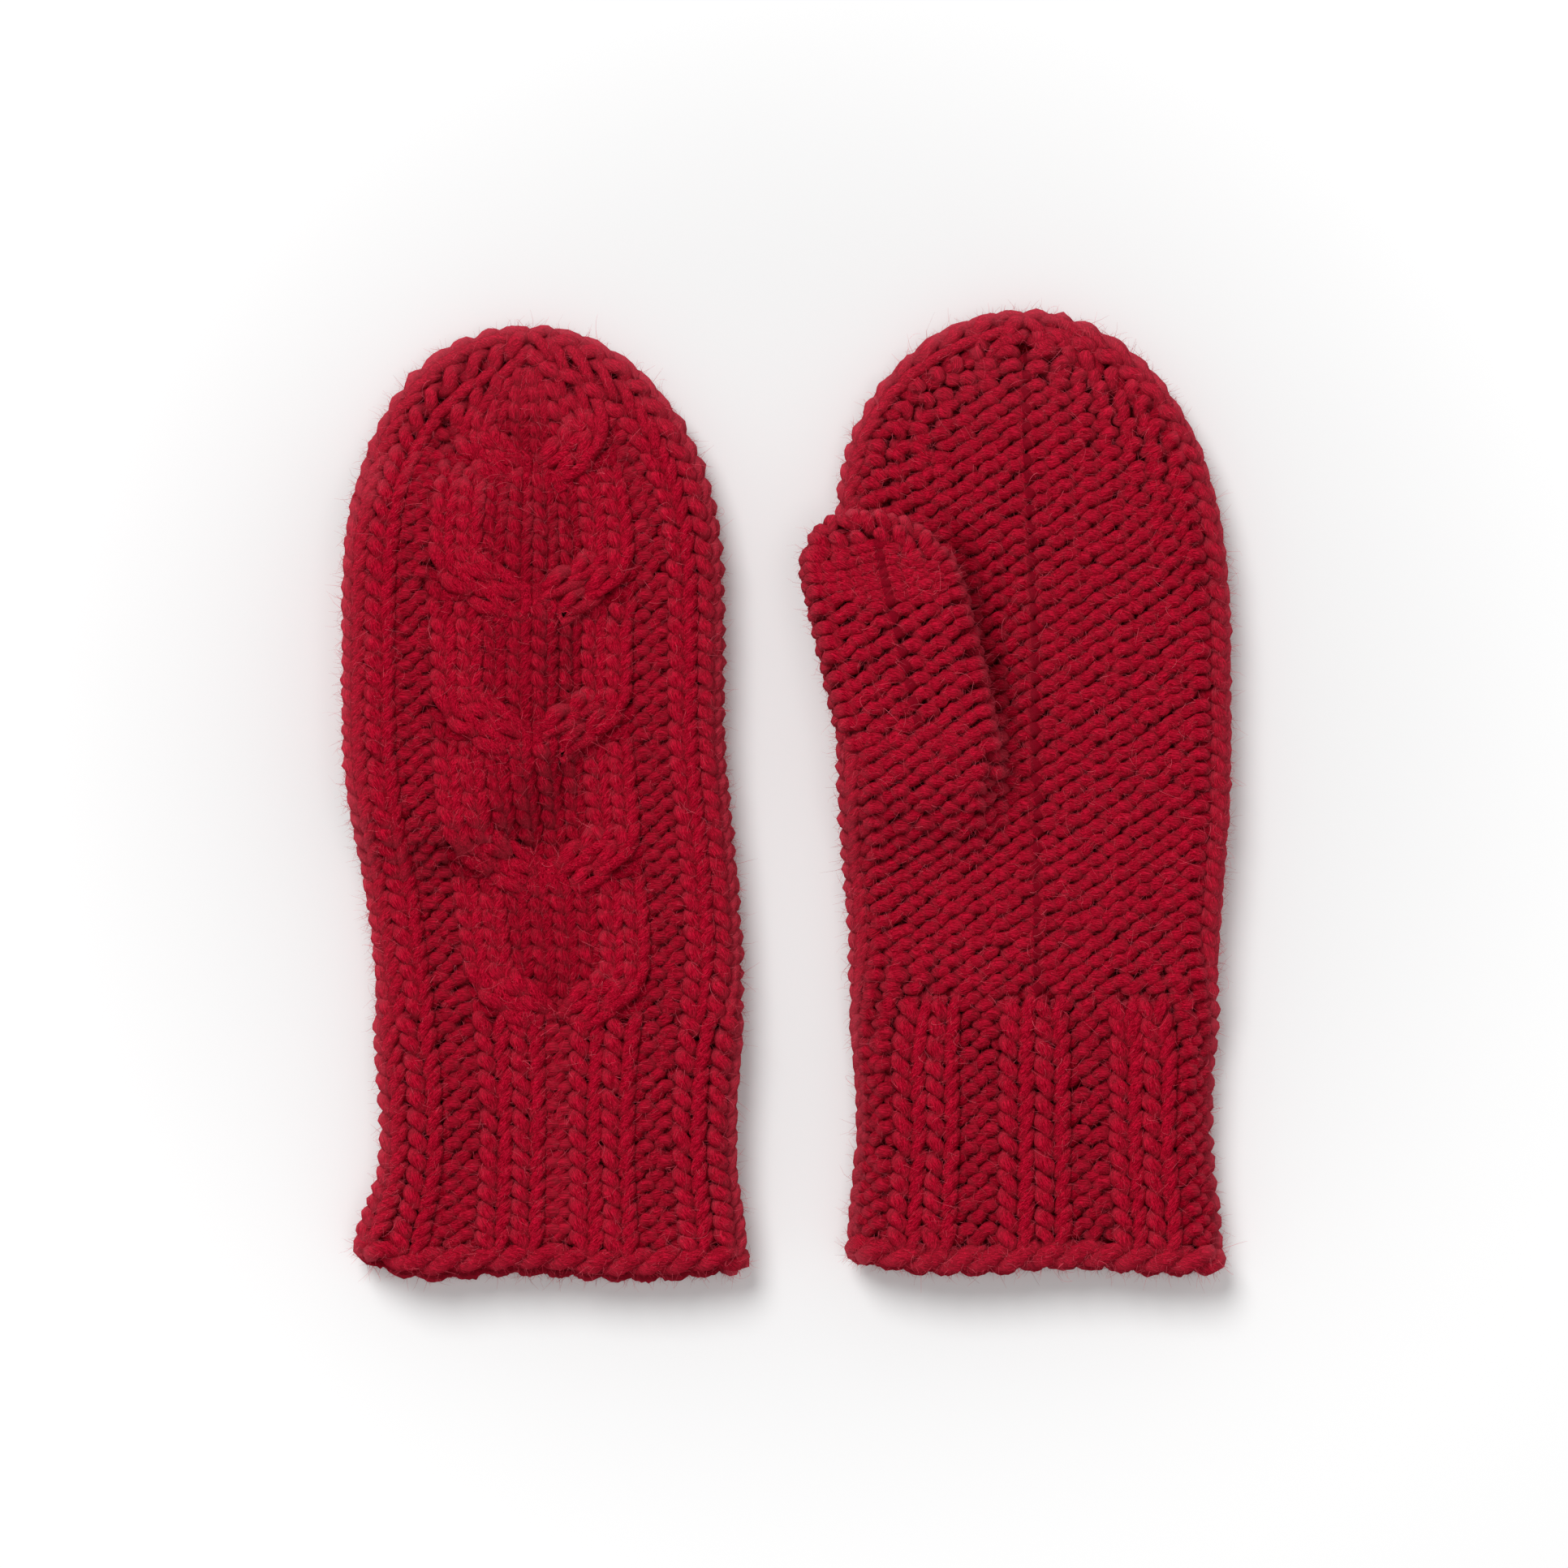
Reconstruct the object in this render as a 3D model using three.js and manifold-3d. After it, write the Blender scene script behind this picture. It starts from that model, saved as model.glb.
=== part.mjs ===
// A pair of hand-knitted wool mittens that lie flat side by side, fingertips towards +Y.
// The left-hand mitten lies palm up with its thumb folded on the palm. The right-hand mitten
// lies palm down on its own thumb. Each knitted section is a plain closed solid: cast-on edge,
// ribbed cuff, hand, finger end and thumb. Units are millimetres, +Z is up, and z = 0 is the table.
import * as THREE from 'three';
import { mergeVertices } from 'three/addons/utils/BufferGeometryUtils.js';
import Module from 'manifold-3d';

const wasm = await Module();
wasm.setup();

// Driving dimensions of one mitten.
const LENGTH = 265.3; // cast-on edge to fingertip
const WALL = 7; // one layer of chunky knitting
const HALF_DEPTH = 9.8; // half the thickness of the empty mitten
const TIP_HALF_DEPTH = 8.5; // the same at the fingertip
const TAPER_START = 228; // where the mitten starts to get thinner
const HEM_HALF_WIDTH = 52.4;
const CUFF_HALF_WIDTH = 49.6;
const WRIST_HALF_WIDTH = 51;
const CUFF_WAIST = 38; // the narrowest place of the cuff
const WRIST = 72; // fold line between cuff and hand
const PALM_FULL = 140; // where the hand reaches its full width
const DOME_START = 182; // where the finger end starts to close in
const DOME_POWER = 0.77; // squareness of the finger end
const FINGER_FOLD = 216; // fold line between hand and finger end
const CAST_ON = 4.7; // length of the cast-on edge
const UPPER_EASE = 0.2; // part of a lift that the soft upper layer doesn't follow

// Driving dimensions of the thumb.
const THUMB_ROOT = 157; // distance of the thumb's root from the cast-on edge
const THUMB_HALF_WIDTH = 22.5;
const THUMB_STRAIGHT = 29; // from the root to the start of the round tip
const THUMB_TIP = 21.5; // length of the round tip
const THUMB_WALL = 4.8;
const THUMB_HOLLOW = 4.8;
const THUMB_RIM = 5;
const THUMB_HOLE = 12; // radius of the opening between hand and thumb
const GUSSET_WIDTH = 12;
const GUSSET_FROM = 233; // degrees round the thumb's root
const GUSSET_TO = 345;
const GUSSET_HEIGHT = 13.8;
const GUSSET_FADE = 1.35; // the slope's length as a multiple of the gusset's width
const GUSSET_CLEARANCE = 2; // below the lifted palm
const DRAPE_MARGIN = 6; // flat margin of the lifted palm round the thumb
const DRAPE = 20; // distance over which the mitten comes down beside its thumb

// Driving dimensions of the finger end's edge band.
const SHOULDER = THREE.MathUtils.degToRad(58); // where the tip's length of the band begins
const TIP_SPLIT = THREE.MathUtils.degToRad(0.2); // half the gap between its lengths

// Joints and clearances.
const GAP = 0.3;
const SIDE_GAP = 0.6; // between a flat layer and its side bands
const FOLD_AXIS_HEIGHT = 9.8;
const NOTCH_ANGLE = THREE.MathUtils.degToRad(24); // half the fold's 45 degrees, with clearance

// How finely the surfaces are divided.
const ROUND_STEPS = 8; // round a side band
const FLAT_STEPS = 2; // across a flat layer
const DRAPED_STEPS = 11; // across a layer that drapes over the thumb
const CUFF_STEPS = 5;
const HAND_STEPS = 7;
const DRAPED_HAND_STEPS = 16;
const FINGER_STEPS = 5;
const FINGER_OVERLAP = 2; // rows of the finger end's layers that run on under the tip
const FINGER_FLAT_STEPS = 4;
const TIP_STEPS = 8;
const CAST_ON_STEPS = 28;
const HOLE_STEPS = 16;
const THUMB_CURVE_STEPS = 10;
const GUSSET_STEPS = [10, 3];
const SIDE_STEP = 1; // millimetres along the side, to find its direction
const DOME_STEP = 0.01; // radians round the finger end, to find its direction
const WELD = 1e-4; // corners closer than this are one corner
const DRILL_LENGTH = 120;
const STRAIGHT_UP = 0.05; // a cast-on corner this near the middle line is on it

const THUMB_DEPTH = 2 * THUMB_WALL + THUMB_HOLLOW;
const THUMB_LIFT = THUMB_DEPTH + GAP;

// How each mitten lies: where its middle line starts, how wide it spreads and how it leans.
const MITTENS = [
  {
    name: 'left',
    palmUp: true,
    x: 68.3,
    y: -130.5,
    halfWidth: 54.8,
    sway: { by: -3.2, from: 170, to: 240 },
    thumb: { x: -34.6, lean: 13 },
  },
  {
    name: 'right',
    palmUp: false,
    x: -63.6,
    y: -134.8,
    halfWidth: 52.8,
    sway: { by: -6.8, from: 80, to: 157 },
    thumb: { x: -29.5, lean: 0 },
  },
];

const yarn = (color) => new THREE.MeshStandardMaterial({ color, roughness: 0.9, metalness: 0 });
const PLAIN_KNIT = yarn(0xaa1028);
const RIBBED_KNIT = yarn(0xa00e26);
const EDGE_KNIT = yarn(0xb3142e);
const THUMB_KNIT = yarn(0xa4102a);

const smooth = (value, from, to) => THREE.MathUtils.smoothstep(value, from, to);
const mix = (from, to, part) => THREE.MathUtils.lerp(from, to, part);

// Half the mitten's width below the finger end.
function sideOutline(mitten, y) {
  const hem = mix(HEM_HALF_WIDTH, CUFF_HALF_WIDTH, smooth(y, CAST_ON, CUFF_WAIST));
  const wrist = mix(hem, WRIST_HALF_WIDTH, smooth(y, CUFF_WAIST, WRIST));
  return mix(wrist, mitten.halfWidth, smooth(y, WRIST, PALM_FULL));
}

// A point of the outline: a distance along the side, or an angle round the finger end.
function onSide(mitten, y) {
  return new THREE.Vector2(sideOutline(mitten, y), y);
}

function onDome(mitten, angle) {
  const rise = (LENGTH - DOME_START) * Math.sin(angle) ** DOME_POWER;
  return new THREE.Vector2(mitten.halfWidth * Math.cos(angle), DOME_START + rise);
}

const foldAngle = Math.asin(((FINGER_FOLD - DOME_START) / (LENGTH - DOME_START)) ** (1 / DOME_POWER));

// The hand's side runs a little way into the finger end's curve.
function onHandSide(mitten, y) {
  if (y < DOME_START) return onSide(mitten, y);
  const part = (y - DOME_START) / (LENGTH - DOME_START);
  return onDome(mitten, Math.asin(part ** (1 / DOME_POWER)));
}

function outwards(outline, mitten, at, step) {
  const before = outline(mitten, at - step);
  const after = outline(mitten, at + step);
  const along = after.sub(before).normalize();
  return new THREE.Vector2(along.y, -along.x);
}

const halfDepth = (y) => mix(HALF_DEPTH, TIP_HALF_DEPTH, smooth(y, TAPER_START, LENGTH));

const swayAt = (mitten, y) => mitten.sway.by * smooth(y, mitten.sway.from, mitten.sway.to);

function thumbRoot(mitten) {
  return new THREE.Vector2(mitten.thumb.x + swayAt(mitten, THUMB_ROOT), THUMB_ROOT);
}

// How far the palm is held off the table by the thumb beneath it.
function lift(mitten, x, y) {
  if (mitten.palmUp) return 0;
  const root = thumbRoot(mitten);
  const lean = THREE.MathUtils.degToRad(mitten.thumb.lean);
  const along = new THREE.Vector2(-Math.sin(lean), Math.cos(lean));
  const from = new THREE.Vector2(x, y).sub(root);
  const reach = THREE.MathUtils.clamp(from.dot(along), 0, THUMB_STRAIGHT);
  const distance = from.addScaledVector(along, -reach).length();
  const clear = THUMB_HALF_WIDTH + DRAPE_MARGIN;
  return THUMB_LIFT * (1 - smooth(distance, clear, clear + DRAPE));
}

// Lays a point of the canonical palm-up mitten on the table; depth is the mitten's local thickness.
function lay(mitten, x, y, z, depth) {
  const across = x + swayAt(mitten, y);
  const height = mitten.palmUp ? z : depth - z;
  const ease = 1 - (UPPER_EASE * height) / depth;
  return new THREE.Vector3(across, y, height + ease * lift(mitten, across, y));
}

// A closed box grid whose unit coordinates are carried to place by a map.
function shaped(map, across, along) {
  const box = new THREE.BoxGeometry(1, 1, 1, across, along, 1);
  return carried(box, (p) => map(p.x + 0.5, p.y + 0.5, p.z + 0.5));
}

function carried(geometry, map) {
  geometry.deleteAttribute('normal');
  geometry.deleteAttribute('uv');
  const solid = mergeVertices(geometry, WELD);
  const points = solid.getAttribute('position');
  const point = new THREE.Vector3();
  for (let i = 0; i < points.count; i++) {
    point.fromBufferAttribute(points, i);
    const place = map(point);
    points.setXYZ(i, place.x, place.y, place.z);
  }
  if (signedVolume(solid) < 0) solid.index.array.reverse();
  return solid;
}

function signedVolume(geometry) {
  const points = geometry.getAttribute('position');
  const corners = geometry.index.array;
  const [a, b, c] = [new THREE.Vector3(), new THREE.Vector3(), new THREE.Vector3()];
  let volume = 0;
  for (let i = 0; i < corners.length; i += 3) {
    a.fromBufferAttribute(points, corners[i]);
    b.fromBufferAttribute(points, corners[i + 1]);
    c.fromBufferAttribute(points, corners[i + 2]);
    volume += a.dot(b.cross(c)) / 6;
  }
  return volume;
}

// Fold lines: below the axis the two sections meet, above it a notch leaves room for the fold.
const notch = (z) => GAP / 2 + Math.max(0, z - FOLD_AXIS_HEIGHT) * Math.tan(NOTCH_ANGLE);
const CUTS = {
  castOn: () => CAST_ON + GAP,
  belowWrist: (z) => WRIST - notch(z),
  aboveWrist: (z) => WRIST + notch(z),
  belowFingers: (z) => FINGER_FOLD - notch(z),
  aboveFingers: (z) => FINGER_FOLD + notch(z),
};

// Moves a section's two ends onto its cuts; the low end's shift fades out over the given reach.
function trimmed(map, lowCut, highCut, reach = 1) {
  return (u, v, w) => {
    const place = map(u, v, w);
    if (lowCut) {
      const low = map(u, 0, w);
      place.y += (lowCut(low.z) - low.y) * Math.max(0, 1 - v / reach);
    }
    if (highCut) {
      const high = map(u, 1, w);
      place.y += (highCut(high.z) - high.y) * v;
    }
    return place;
  };
}

// A layer between the two side bands, on the palm or on the back.
function layer(mitten, outline, from, to, onPalm, step) {
  return (u, v, w) => {
    const at = mix(from, to, v);
    const edge = outline(mitten, at);
    const depth = halfDepth(edge.y);
    edge.addScaledVector(outwards(outline, mitten, at, step), -depth);
    const z = onPalm ? 2 * depth - WALL * w : WALL * w;
    return lay(mitten, mix(-1, 1, u) * (edge.x - SIDE_GAP), edge.y, z, 2 * depth);
  };
}

// A side band: a half-round wall that joins palm and back.
function band(mitten, outline, from, to, side, step) {
  return (u, v, w) => {
    const at = mix(from, to, v);
    const edge = outline(mitten, at);
    const depth = halfDepth(edge.y);
    const turn = Math.PI * (u - 0.5);
    const radius = depth - WALL * w;
    edge.addScaledVector(outwards(outline, mitten, at, step), radius * Math.cos(turn) - depth);
    return lay(mitten, side * edge.x, edge.y, depth + radius * Math.sin(turn), 2 * depth);
  };
}

function castOnEdge(mitten) {
  const ringRadius = 2;
  const diamondRing = new THREE.TorusGeometry(ringRadius, 1, 4, CAST_ON_STEPS);
  const width = sideOutline(mitten, CAST_ON) - HALF_DEPTH;
  return carried(diamondRing, (p) => {
    const turn = Math.atan2(p.y, p.x);
    const outer = Math.hypot(p.x, p.y) - ringRadius;
    const inwards = (1 - (outer - p.z)) / 2;
    const along = (1 + outer + p.z) / 2;
    const radius = HALF_DEPTH - WALL * inwards;
    const middle = Math.abs(Math.cos(turn)) < STRAIGHT_UP;
    const x = middle ? 0 : Math.sign(Math.cos(turn)) * width;
    const z = HALF_DEPTH + radius * Math.sin(turn);
    return lay(mitten, x + radius * Math.cos(turn), CAST_ON * along, z, 2 * HALF_DEPTH);
  });
}

function toManifold(geometry) {
  const bare = geometry.clone();
  bare.deleteAttribute('normal');
  bare.deleteAttribute('uv');
  const merged = mergeVertices(bare, WELD);
  const vertProperties = Float32Array.from(merged.getAttribute('position').array);
  const triVerts = Uint32Array.from(merged.index.array);
  return new wasm.Manifold(new wasm.Mesh({ numProp: 3, vertProperties, triVerts }));
}

function drilled(geometry, tool) {
  const mesh = toManifold(geometry).subtract(toManifold(tool)).getMesh();
  const solid = new THREE.BufferGeometry();
  solid.setAttribute('position', new THREE.BufferAttribute(mesh.vertProperties, 3));
  solid.setIndex(new THREE.BufferAttribute(mesh.triVerts, 1));
  return solid;
}

// The opening that the wearer's thumb goes through, cut straight down at the thumb's root.
function thumbHoleTool(root) {
  const drill = new THREE.CylinderGeometry(THUMB_HOLE, THUMB_HOLE, DRILL_LENGTH, HOLE_STEPS);
  return drill.rotateX(Math.PI / 2).translate(root.x, root.y, 0);
}

function thumbOutline() {
  const outline = new THREE.Shape();
  outline.absarc(0, 0, THUMB_HALF_WIDTH, Math.PI, 2 * Math.PI, false);
  outline.absellipse(0, THUMB_STRAIGHT, THUMB_HALF_WIDTH, THUMB_TIP, 0, Math.PI, false);
  return outline;
}

function thumbRimOutline() {
  const rim = new THREE.Shape();
  rim.moveTo(THUMB_HALF_WIDTH, 0);
  rim.absellipse(0, THUMB_STRAIGHT, THUMB_HALF_WIDTH, THUMB_TIP, 0, Math.PI, false);
  rim.lineTo(-THUMB_HALF_WIDTH, 0);
  rim.lineTo(THUMB_RIM - THUMB_HALF_WIDTH, 0);
  const inside = THUMB_HALF_WIDTH - THUMB_RIM;
  rim.absellipse(0, THUMB_STRAIGHT, inside, THUMB_TIP - THUMB_RIM, Math.PI, 0, true);
  rim.lineTo(inside, 0);
  return rim;
}

function slab(outline, depth) {
  const flat = { depth, bevelEnabled: false, curveSegments: THUMB_CURVE_STEPS };
  return new THREE.ExtrudeGeometry(outline, flat);
}

// The thumb's front, rim and rear, laid flat; the rear touches the palm.
function thumbPieces(mitten) {
  const face = thumbOutline();
  const rear = drilled(slab(face, THUMB_WALL), thumbHoleTool(new THREE.Vector2()));
  const pieces = [
    { name: 'thumb_rear', geometry: rear, from: 0, depth: THUMB_WALL },
    {
      name: 'thumb_rim',
      geometry: slab(thumbRimOutline(), THUMB_HOLLOW - 2 * GAP),
      from: THUMB_WALL + GAP,
      depth: THUMB_HOLLOW - 2 * GAP,
    },
    {
      name: 'thumb_front',
      geometry: slab(face, THUMB_WALL),
      from: THUMB_WALL + THUMB_HOLLOW,
      depth: THUMB_WALL,
    },
  ];
  const root = thumbRoot(mitten);
  return pieces.map(({ name, geometry, from, depth }) => {
    const mesh = named(mitten, name, geometry, THUMB_KNIT);
    const up = 2 * HALF_DEPTH + GAP + from;
    const down = THUMB_DEPTH - from - depth;
    mesh.position.set(root.x, root.y, mitten.palmUp ? up : down);
    mesh.rotation.z = THREE.MathUtils.degToRad(mitten.thumb.lean);
    return mesh;
  });
}

// The gusset: a crescent that slopes from the palm up to the thumb's root.
function thumbGusset(mitten) {
  const root = thumbRoot(mitten);
  const inner = THUMB_HALF_WIDTH + 2 * GAP;
  return shaped((u, v, w) => {
    const turn = THREE.MathUtils.degToRad(mix(GUSSET_FROM, GUSSET_TO, u));
    const radius = inner + GUSSET_WIDTH * v;
    const x = root.x + radius * Math.cos(turn);
    const y = root.y + radius * Math.sin(turn);
    const height = GUSSET_HEIGHT * (1 - smooth(radius, inner, inner + GUSSET_FADE * GUSSET_WIDTH));
    if (mitten.palmUp) return new THREE.Vector3(x, y, 2 * HALF_DEPTH + GAP + height * w);
    return new THREE.Vector3(x, y, Math.min(height, lift(mitten, x, y) - GUSSET_CLEARANCE) * w);
  }, ...GUSSET_STEPS);
}

function named(mitten, name, geometry, material) {
  const mesh = new THREE.Mesh(geometry, material);
  mesh.name = `${mitten.name}_${name}`;
  return mesh;
}

// The ribbed cuff: four sections between the cast-on edge and the wrist's fold line.
function cuff(mitten) {
  const cut = (map) => trimmed(map, CUTS.castOn, CUTS.belowWrist);
  const sheet = (onPalm) => {
    const map = layer(mitten, onSide, CAST_ON, WRIST, onPalm, SIDE_STEP);
    return shaped(cut(map), FLAT_STEPS, CUFF_STEPS);
  };
  const side = (sign) => {
    const map = band(mitten, onSide, CAST_ON, WRIST, sign, SIDE_STEP);
    return shaped(cut(map), ROUND_STEPS, CUFF_STEPS);
  };
  return [
    named(mitten, 'cast_on_edge', castOnEdge(mitten), EDGE_KNIT),
    named(mitten, 'cuff_back', sheet(false), RIBBED_KNIT),
    named(mitten, 'cuff_palm', sheet(true), RIBBED_KNIT),
    named(mitten, 'cuff_thumb_side', side(-1), RIBBED_KNIT),
    named(mitten, 'cuff_outer_side', side(1), RIBBED_KNIT),
  ];
}

// The hand: back with the cable, palm with the thumb opening, two side bands and the gusset.
function hand(mitten) {
  const cut = (map) => trimmed(map, CUTS.aboveWrist, CUTS.belowFingers);
  const across = mitten.palmUp ? FLAT_STEPS : DRAPED_STEPS;
  const along = mitten.palmUp ? HAND_STEPS : DRAPED_HAND_STEPS;
  const sheet = (onPalm) => {
    const map = layer(mitten, onHandSide, WRIST, FINGER_FOLD, onPalm, SIDE_STEP);
    return shaped(cut(map), across, along);
  };
  const side = (sign) => {
    const map = band(mitten, onHandSide, WRIST, FINGER_FOLD, sign, SIDE_STEP);
    return shaped(cut(map), ROUND_STEPS, along);
  };
  const palm = drilled(sheet(true), thumbHoleTool(thumbRoot(mitten)));
  return [
    named(mitten, 'hand_back', sheet(false), PLAIN_KNIT),
    named(mitten, 'hand_palm', palm, PLAIN_KNIT),
    named(mitten, 'hand_thumb_side', side(-1), EDGE_KNIT),
    named(mitten, 'hand_outer_side', side(1), EDGE_KNIT),
    named(mitten, 'thumb_gusset', thumbGusset(mitten), THUMB_KNIT),
  ];
}

// The finger end: palm and back, and the edge band that runs over the tip in three lengths.
function fingers(mitten) {
  const layerRows = FINGER_STEPS + FINGER_OVERLAP;
  const layerEnd = foldAngle + ((SHOULDER - foldAngle) * layerRows) / FINGER_STEPS;
  const tipStart = SHOULDER + TIP_SPLIT;
  const cut = (map, reach) => trimmed(map, CUTS.aboveFingers, null, reach);
  const sheet = (onPalm) => {
    const map = layer(mitten, onDome, foldAngle, layerEnd, onPalm, DOME_STEP);
    return shaped(cut(map, FINGER_STEPS / layerRows), FINGER_FLAT_STEPS, layerRows);
  };
  const side = (sign) => {
    const map = band(mitten, onDome, foldAngle, SHOULDER - TIP_SPLIT, sign, DOME_STEP);
    return shaped(cut(map, 1), ROUND_STEPS, FINGER_STEPS);
  };
  const tipMap = band(mitten, onDome, tipStart, Math.PI - tipStart, 1, DOME_STEP);
  const tip = shaped(tipMap, ROUND_STEPS, TIP_STEPS);
  return [
    named(mitten, 'fingers_back', sheet(false), PLAIN_KNIT),
    named(mitten, 'fingers_palm', sheet(true), PLAIN_KNIT),
    named(mitten, 'fingers_thumb_side', side(-1), EDGE_KNIT),
    named(mitten, 'fingers_outer_side', side(1), EDGE_KNIT),
    named(mitten, 'fingertip', tip, EDGE_KNIT),
  ];
}

const pair = new THREE.Group();
for (const mitten of MITTENS) {
  const group = new THREE.Group();
  group.position.set(mitten.x, mitten.y, 0);
  group.add(...cuff(mitten), ...hand(mitten), ...fingers(mitten), ...thumbPieces(mitten));
  pair.add(group);
}

export default pair;
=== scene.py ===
import math

import bpy
import numpy as np
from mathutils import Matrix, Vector


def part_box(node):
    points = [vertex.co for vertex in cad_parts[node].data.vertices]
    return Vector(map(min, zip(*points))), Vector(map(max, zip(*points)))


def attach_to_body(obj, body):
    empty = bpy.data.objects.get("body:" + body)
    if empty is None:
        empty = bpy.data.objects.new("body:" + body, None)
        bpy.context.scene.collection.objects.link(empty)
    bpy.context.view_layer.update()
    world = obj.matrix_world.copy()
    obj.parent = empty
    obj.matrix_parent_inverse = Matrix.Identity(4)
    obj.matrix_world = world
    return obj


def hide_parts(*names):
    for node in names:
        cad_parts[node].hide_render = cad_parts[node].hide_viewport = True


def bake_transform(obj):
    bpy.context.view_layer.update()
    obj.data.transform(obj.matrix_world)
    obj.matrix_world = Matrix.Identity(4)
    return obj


# A pair of hand-knitted wool mittens, knitted stitch by stitch round the CAD frame.
# Each row of knitting is one strand of yarn: its loops run to the front on knit columns and to the
# back on purl columns. Lengths are in millimetres until a mesh is made, which is in metres.
# A place on a mitten is a knitting row, a distance s round it from the middle of its back, and a
# distance out from the middle of its layer.

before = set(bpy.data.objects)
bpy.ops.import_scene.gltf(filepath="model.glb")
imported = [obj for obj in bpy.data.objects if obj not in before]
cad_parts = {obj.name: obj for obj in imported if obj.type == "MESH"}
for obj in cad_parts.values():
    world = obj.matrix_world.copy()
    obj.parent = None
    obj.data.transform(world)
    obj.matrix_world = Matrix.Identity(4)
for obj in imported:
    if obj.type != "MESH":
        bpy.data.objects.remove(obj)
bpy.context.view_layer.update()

MM = 0.001
TINY = 1e-6

# The mitten's form, as in the CAD model, from the cuff's edge towards the tip.
LENGTH = 265.3
HALF_DEPTH = 9.8
TIP_HALF_DEPTH = 8.5
TAPER_START = 228
HEM_HALF_WIDTH = 52.4
CUFF_HALF_WIDTH = 49.6
WRIST_HALF_WIDTH = 51
CAST_ON = 4.7
CUFF_WAIST = 38
WRIST = 72
PALM_FULL = 140  # where the palm reaches its full width
DOME_START = 182
DOME_POWER = 0.77
FINGER_FOLD = 216
TIP_SWAY = (205, 262)  # where the fingertips lean to one side

THUMB_ROOT = 157
THUMB_HALF_WIDTH = 22.5
THUMB_STRAIGHT = 29
THUMB_ROUND = 26  # where the thumb's tip starts to round
THUMB_LENGTH = 50.5
THUMB_TIP = THUMB_LENGTH + 1.5  # where the knitted thumb ends
THUMB_DEPTH = 14.4
THUMB_POWER = 0.72
THUMB_BULGE = 0.8
THUMB_BULGE_SPAN = (-18, 37)
THUMB_SINK = 0.3  # how deep the palm-up thumb sits in the palm
THUMB_FOOT_SHIFT = 3.6  # the leaning thumb's foot stands to one side of its root
THUMB_SLANT = 1.15  # how the lean gathers towards the tip

# How a mitten lies on the table.
THUMB_LIFT = 14.7  # the palm-down mitten lies over its own thumb
DRAPE_MARGIN = 6
DRAPE = 20
UPPER_EASE = 0.2
HEM_REACH = 40  # the cast-on edge's waves die out this far up the cuff
HEM_WAVE = 0.9
HEM_WAVE_LENGTH = 62
HEM_FLARE = (15, 50)  # from the middle line, on the thumb's side
HEM_CORNER = (34, 54)

# The palm beside the thumb of the palm-up mitten. Spans are from the thumb's root or from its edge.
GUSSET_RISE = 14.9
GUSSET_CLIMB = (-50, -20)
GUSSET_SIDE = (-10, 1)
GUSSET_LAYER = (4, 15)  # only the upper layer swells
CROTCH_DIP = 5.0
CROTCH_PLACE = 2
CROTCH_WIDTH = 7
CROTCH_START = (-32, -8)
CROTCH_END = (30, 55)
CREASE_SHADE = 4.5  # how much deeper in shade the yarn in the crease is
CREASE_FOOT = 15  # below the thumb's root
CREASE_LEAN = 15  # towards the thumb's tip
CREASE_UNDER, CREASE_BESIDE = 2.5, 5.5  # its widths
CREASE_START = (-14, 4)
CREASE_END = (42, 54)
CREASE_HEIGHT = (9, 12)

# The yarn and its gauge.
YARN = 1.95  # radius in knit columns
PURL_YARN = 1.62  # radius in purl columns, where the yarn is pulled tighter
LOWEST = YARN - 0.15  # the middle of yarn that rests on the table
MID = 3.5  # from the outer face to the middle of one layer
THUMB_MID = 3.3
CUFF_ROWS = 13
CUFF_ROW = 5.3
HAND_ROW = 4.76
LAST_ROW = 52
THUMB_LAST_ROW = 17

# One stitch. Shares are of its row's height or of its column's width.
LOOP_RISE = 0.79  # half a loop's height
LOOP_BULGE = 0.225  # how far a loop leans over its neighbours
PURL_BULGE = 0.18
KNIT_SLANT = 0.16
PURL_SLANT = 0.13
LOOP_DEPTH = 1.8  # how far a loop runs to the front and back
PURL_DEPTH = 2.4
PURL_PLUMP = 0.27  # how much plumper a purl bump is in its middle
PURL_TUCK = 0.6  # how far a purl bump's end tucks under its neighbour
EDGE_CALM = 0.3  # loops lie flatter round the fold at each edge
LOOP_TILT = 0.25  # how much a loop's foot lies over the loop below
LEG_DIFFERENCE = 0.22  # one leg of a knit stitch is plumper than the other
RISE_WOBBLE = 0.07
ROW_WOBBLE = 0.08
THICKNESS_WOBBLE = 0.05
WOBBLE_STEP = 7  # samples of a strand between changes of thickness
SAMPLES = 20  # along one stitch
SIDES = 8  # round the yarn
NEIGHBOUR = 0.9  # radians of a stitch that take up its neighbour's place

# Half a row of stitch columns, from the middle of the back to the middle of the palm.
KNIT, PURL = 1, -1
CUFF_BACK = np.array([3.4, 8.9, 8.9])
CUFF_GUTTER = 10.8
CUFF_BAND = 18.0
CUFF_PALM = np.array([5.4, 5.4, 9.0, 9.0, 5.5, 5.5, 9.9])
CUFF_GIRTH = CUFF_BACK.sum() + CUFF_GUTTER + CUFF_BAND + CUFF_PALM.sum()
CUFF_KINDS = [KNIT if (column + 1) // 2 % 2 else PURL for column in range(14)]
CUFF_BLEND = 4  # rows to each side of the wrist where the cuff's widths turn into the hand's
HAND_GUTTER = 10.6
BAND_WIDTH = 21.6
BAND_ON_BACK = 5.2
BAND_COLUMNS = 3
PALM_COLUMN = 6.9
THUMB_COLUMN = 7.0
RIB_UP, RIB_DOWN = 0.9, -1.3
GUTTER_DOWN, BAND_UP, PALM_DOWN = -1.5, 0.6, -0.3

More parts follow.
